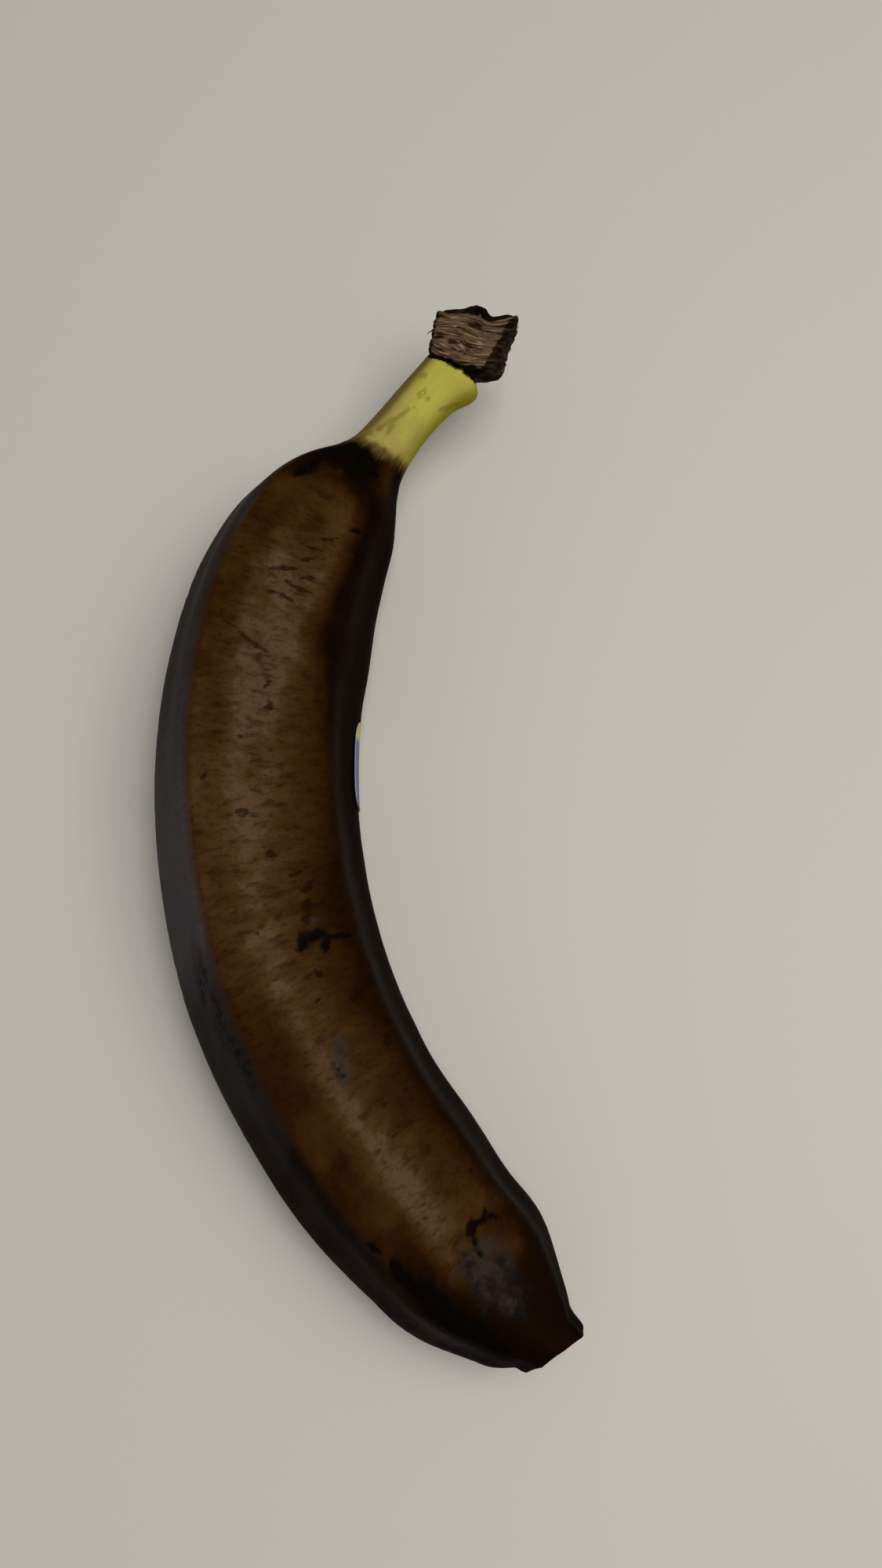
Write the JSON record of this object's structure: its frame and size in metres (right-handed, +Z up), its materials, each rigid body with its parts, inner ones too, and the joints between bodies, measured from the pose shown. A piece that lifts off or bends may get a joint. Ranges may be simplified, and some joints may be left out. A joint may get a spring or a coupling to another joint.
{
  "type": "overripe banana",
  "caption": "Single overripe banana lying on its side: curved five-ridged brown peel, yellow-green neck, torn crown stub and a blank produce label.",
  "frame": {"origin": "middle of the fruit's footprint, on the surface that it lies on", "axes": "+Z up from the surface; +Y along the chord towards the stem; +X towards the hollow of the bend"},
  "size_m": [0.0764, 0.1914, 0.0351],
  "materials": {
    "peel": "satin",
    "label": "satin"
  },
  "bodies": {
    "root": {"banana": "peel", "sticker": "label"}
  },
  "joints": []
}
